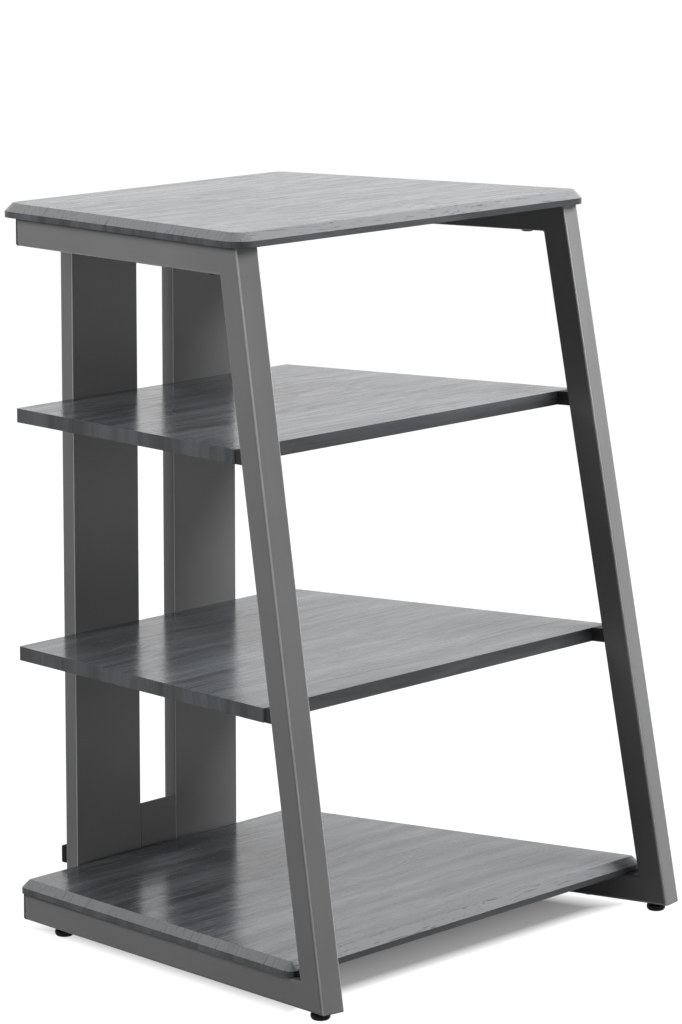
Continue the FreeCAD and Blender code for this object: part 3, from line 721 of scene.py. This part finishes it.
def wall_buffer(node):
    low, high = (Vector(corner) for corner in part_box(node))
    column_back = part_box("left_back_column")[1][1]
    size = Vector((high.x - low.x, high.y - column_back, high.z - low.z))
    middle = Vector(((low.x + high.x) / 2, column_back + size.y / 2, (low.z + high.z) / 2))
    bm = bmesh.new()
    bmesh.ops.create_cube(
        bm, size=1, matrix=Matrix.Translation(middle) @ Matrix.Diagonal(size).to_4x4())
    lines = [line for line in bm.edges
             if max(corner.co.y for corner in line.verts) > column_back + BEHIND_COLUMN]
    round_edges(bm, lines, BUFFER_EDGE, 4)
    rear = max(bm.faces, key=lambda face: face.calc_center_median().y)
    bmesh.ops.inset_region(bm, faces=[rear], thickness=DISH_MARGIN, depth=0)
    bmesh.ops.inset_region(bm, faces=[rear], thickness=DISH_DEPTH, depth=-DISH_DEPTH)
    stem_length = column_back - low.y
    stem_middle = (middle.x, column_back - stem_length / 2, middle.z)
    bmesh.ops.create_cone(
        bm, cap_ends=True, segments=BUFFER_STEM_SEGMENTS, radius1=BUFFER_STEM, radius2=BUFFER_STEM,
        depth=stem_length, matrix=Matrix.Translation(stem_middle) @ ALONG_FORWARD)
    make_piece(node.replace("bumper", "buffer"), bm, "black_rubber", "stand", node)


for node in ("left_wall_bumper", "right_wall_bumper"):
    wall_buffer(node)

# %% [markdown]
# ## Welded side frames
# Each side frame is three tubes, mitred, welded and ground flush, so the paint runs over the
# joints without a seam. The CAD tubes end at their mitres, which would show as a worn line. A
# Boolean union would join them too, but stumbles over faces that lie on each other. So copies of
# the three meshes lose the hidden cut faces, and the two rims at each mitre are pulled together
# and merged.

# %% Where the side frames lie
TUBE = 0.032
TOP_FRONT_WIDTH = 0.600
REAR_WIDTH = 0.470
TOP_DEPTH = 0.390
LEG_LEAN = math.radians(10)
SPLAY = math.atan((TOP_FRONT_WIDTH - REAR_WIDTH) / 2 / TOP_DEPTH)
frame_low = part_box("left_bottom_rail")[0][2]
frame_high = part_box("left_top_rail")[1][2]
rear_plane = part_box("left_back_column")[0][1]
leg_run = TOP_DEPTH / math.cos(SPLAY) + (frame_high - frame_low) * math.tan(LEG_LEAN)


def on_frame(side, run, inward, height):
    """A point of a side frame: its run behind the leg's foot, and its way in from mid tube."""
    setback = leg_run - run
    from_outside = TUBE / 2 + inward
    x = REAR_WIDTH / 2 - from_outside * math.cos(SPLAY) + setback * math.sin(SPLAY)
    y = rear_plane - from_outside * math.sin(SPLAY) - setback * math.cos(SPLAY)
    return Vector((side * x, y, height))


def leg_front(height):
    return (height - frame_low) * math.tan(LEG_LEAN)


def leg_back(height):
    return leg_front(height) + TUBE / math.cos(LEG_LEAN)


def mitre_plane(side, outer_height, inner_height):
    near = on_frame(side, leg_front(outer_height), TUBE / 2, outer_height)
    far = on_frame(side, leg_front(outer_height), -TUBE / 2, outer_height)
    inner = on_frame(side, leg_back(inner_height), 0, inner_height)
    return near, (far - near).cross(inner - near).normalized()


print("side frames splay by", round(math.degrees(SPLAY), 2), "degrees")

# %% Join two tubes at a mitre
MITRE_REACH = 3 * TUBE
ON_MITRE = 2e-5


def nearest_finder(corners):
    tree = KDTree(len(corners))
    for number, corner in enumerate(corners):
        tree.insert(corner.co, number)
    tree.balance()
    return lambda place: corners[tree.find(place)[1]]


def join_mitre(bm, point, normal):
    rim = {corner for corner in bm.verts if abs((corner.co - point).dot(normal)) < ON_MITRE
           and (corner.co - point).length < MITRE_REACH}
    hidden = [face for face in bm.faces if rim.issuperset(face.verts)]
    bmesh.ops.delete(bm, geom=hidden, context="FACES")
    rims = ([], [])
    for corner in (corner for corner in bm.verts if corner in rim):
        wall = corner.link_faces[0].calc_center_median()
        rims[(wall - point).dot(normal) > 0].append(corner)
    coarse, fine = sorted(rims, key=len)
    find = nearest_finder(coarse)
    partners = {corner: find(corner.co) for corner in fine}
    met = set(partners.values())
    find = nearest_finder([corner for corner in coarse if corner in met])
    for corner in coarse:
        if corner not in met:
            corner.co = find(corner.co).co
    for corner, partner in partners.items():
        corner.co = partner.co


# %% Weld the tubes
def welded_frame(name, side, *tubes):
    bm = bmesh.new()
    for tube in tubes:
        before = set(bm.verts)
        bm.from_mesh(nodes[tube].data)
        added = [corner for corner in bm.verts if corner not in before]
        bmesh.ops.remove_doubles(bm, verts=added, dist=SAME_PLACE)
    join_mitre(bm, *mitre_plane(side, frame_high, frame_high - TUBE))
    join_mitre(bm, *mitre_plane(side, frame_low, frame_low + TUBE))
    merge_corners(bm)
    bmesh.ops.dissolve_degenerate(bm, edges=bm.edges[:], dist=SAME_PLACE)
    print(name, "has", sum(not line.is_manifold for line in bm.edges), "open edges")
    piece = make_piece(name, bm, "grey_powder_coat", "stand", *tubes)
    flat = piece.modifiers.new("flat_faces", "WEIGHTED_NORMAL")
    flat.keep_sharp = True


welded_frame("left_welded_frame", -1, "left_top_rail", "left_front_leg", "left_bottom_rail")
welded_frame("right_welded_frame", 1, "right_top_rail", "right_front_leg", "right_bottom_rail")

# %% [markdown]
# ## Weld beads
# Outside, the welds are ground away, but in the inner corners a fine bead stays: a row of
# overlapping drops. A bump can't fill a corner, so the bead is real: small spheres in a row
# across the tube, under the frame's own paint. It is kept low, so that from a step away the
# corner still looks sharp.

# %% Weld beads
BEAD_DROPS = 29
BEAD_LENGTH = 0.025
BEAD_LIFT = 0.0003
DROP_RADIUS = 0.0012
DROP_SWELL = 0.10
SWELL_STEP = 2.4


def weld_beads(name, side):
    bm = bmesh.new()
    for height, lift in ((frame_low + TUBE, BEAD_LIFT), (frame_high - TUBE, -BEAD_LIFT)):
        run = leg_back(height) + BEAD_LIFT
        for drop in range(BEAD_DROPS):
            inward = BEAD_LENGTH * (drop / (BEAD_DROPS - 1) - 0.5)
            swell = 1 + DROP_SWELL * math.sin(SWELL_STEP * drop + height)
            place = Matrix.Translation(on_frame(side, run, inward, height + lift))
            bmesh.ops.create_uvsphere(
                bm, u_segments=10, v_segments=6, radius=DROP_RADIUS * swell, matrix=place)
    beads = make_piece(name, bm, "grey_powder_coat", "stand")
    beads.data.materials[0] = weld_coat


weld_beads("left_weld_beads", -1)
weld_beads("right_weld_beads", 1)

# %% [markdown]
# ## Floor
# A floor can be made white by lighting it hard, but that light would fall on the stand too. So it
# glows white to the camera and in mirrored rays only. Beneath the bottom board the glow sinks to
# a grey, a painted shadow in the shape of the shade there. The mask follows the splayed sides, and
# the painted shadow fades slowly towards the front edge and quickly past it. To every other ray
# the floor is dark grey, so that it throws little light up at the tubes.

# %% Floor
FLOOR_SIZE = 60
FLOOR_GREY = 0.10
SIDE_FADE = 0.05
FRONT_FADE = (-0.190, -0.218)
REAR_FADE = (0.15, 0.26)
SHADE_FADE = (-0.125, -0.190)
SHADE_DEEP, SHADE_THIN = 0.16, 0.31


def seen_directly(tree):
    """One for what the camera sees, straight, mirrored or through glass, and else zero."""
    rays = add_node(tree, "ShaderNodeLightPath").outputs
    mirrored = maths(tree, "MAXIMUM", rays["Is Camera Ray"], rays["Is Glossy Ray"])
    return maths(tree, "MAXIMUM", mirrored, rays["Is Transmission Ray"])


bpy.ops.mesh.primitive_plane_add(size=FLOOR_SIZE)
floor = bpy.context.object
floor.name = "pale_floor"
floor_paint, tree, paint = start_material("pale_floor", Roughness=0.9, Specular_IOR_Level=0.1)
paint["Base Color"].default_value = grey(FLOOR_GREY)
paint["Emission Color"].default_value = grey(1.0)
spot = axes(tree, object_place(tree))
straightened = maths(
    tree, "ADD", maths(tree, "ABSOLUTE", spot["X"]),
    maths(tree, "MULTIPLY", spot["Y"], math.tan(SPLAY)))
frame_side = REAR_WIDTH / 2 + rear_plane * math.tan(SPLAY)
beside = stretch(tree, straightened, frame_side - SIDE_FADE, frame_side)
before = stretch(tree, spot["Y"], *FRONT_FADE)
behind = stretch(tree, spot["Y"], *REAR_FADE)
outside = maths(tree, "MAXIMUM", maths(tree, "MAXIMUM", beside, before), behind)
# painted shadow: the floor's glow sinks to grey beneath the bottom board
shade = stretch(tree, spot["Y"], *SHADE_FADE, SHADE_DEEP, SHADE_THIN)
glow = stretch(tree, outside, 0.0, 1.0, shade, 1.0)
tree.links.new(maths(tree, "MULTIPLY", seen_directly(tree), glow), paint["Emission Strength"])
floor.data.materials.append(floor_paint)
print("floor shade ends", round(frame_side, 3), "m beside the middle")

# %% [markdown]
# ## Room
# The room is the world round the scene. An even white world would light the stand flat from all
# sides, so it is white only to the camera and in mirrored rays, and gives little light of its
# own.

# %% Room
ROOM_LIGHT = 0.06

room = bpy.data.worlds.new("white_room")
room.use_nodes = True
bpy.context.scene.world = room
tree = room.node_tree
tree.nodes.clear()
strength = maths(tree, "MAXIMUM", seen_directly(tree), ROOM_LIGHT)
background = add_node(
    tree, "ShaderNodeBackground", {"Color": grey(1.0), "Strength": strength}).outputs[0]
add_node(tree, "ShaderNodeOutputWorld", {"Surface": background})
print("room has", len(tree.nodes), "nodes")

# %% [markdown]
# ## Lamps
# One lamp would leave half of the tubes black, so there are four, large and soft. The first, to
# the right in front, lights the legs' front faces, the right one most. The second, on the left
# and a little behind, shines down at about 33 degrees on the left side faces and the sloping
# edges, and the boards shade the inner faces from it. A weak one low in front fills the shade,
# and one behind on the right lights the columns' backs. None of them shows in mirrored rays,
# because a lamp mirrored in a board would burn out its grain.

# %% Lamps
LAMPS_AIM = Vector((0, 0, 0.4))


def soft_lamp(name, way, distance, size, level):
    """A round lamp that gives a facing surface the level of light, as a share of plain white."""
    lamp = bpy.data.lights.new(name, "AREA")
    lamp.shape = "DISK"
    lamp.size = size
    lamp.energy = level * math.pi ** 2 * distance ** 2
    holder = bpy.data.objects.new(name, lamp)
    holder.location = LAMPS_AIM + Vector(way).normalized() * distance
    holder.rotation_euler = (LAMPS_AIM - holder.location).to_track_quat("-Z", "Y").to_euler()
    holder.visible_glossy = False
    bpy.context.scene.collection.objects.link(holder)
    print(name, "has", round(lamp.energy, 2), "W")


soft_lamp("right_front_lamp", (1.3, -1.4, 1.6), distance=2.492, size=1.2, level=1.12)
soft_lamp("left_rear_lamp", (-1.55, 0.5, 1.05), distance=2.214, size=1.2, level=0.47)
soft_lamp("low_front_lamp", (0.30, -0.95, 0.08), distance=4.5, size=2.0, level=0.15)
soft_lamp("right_rear_lamp", (0.9, 1.5, 0.9), distance=3.0, size=1.2, level=0.60)
bpy.context.scene.view_settings.view_transform = "Standard"

# %% [markdown]
# ## Finish
# The view layer is updated once more, so that every piece stands where it was put.

# %% Finish
bpy.context.view_layer.update()
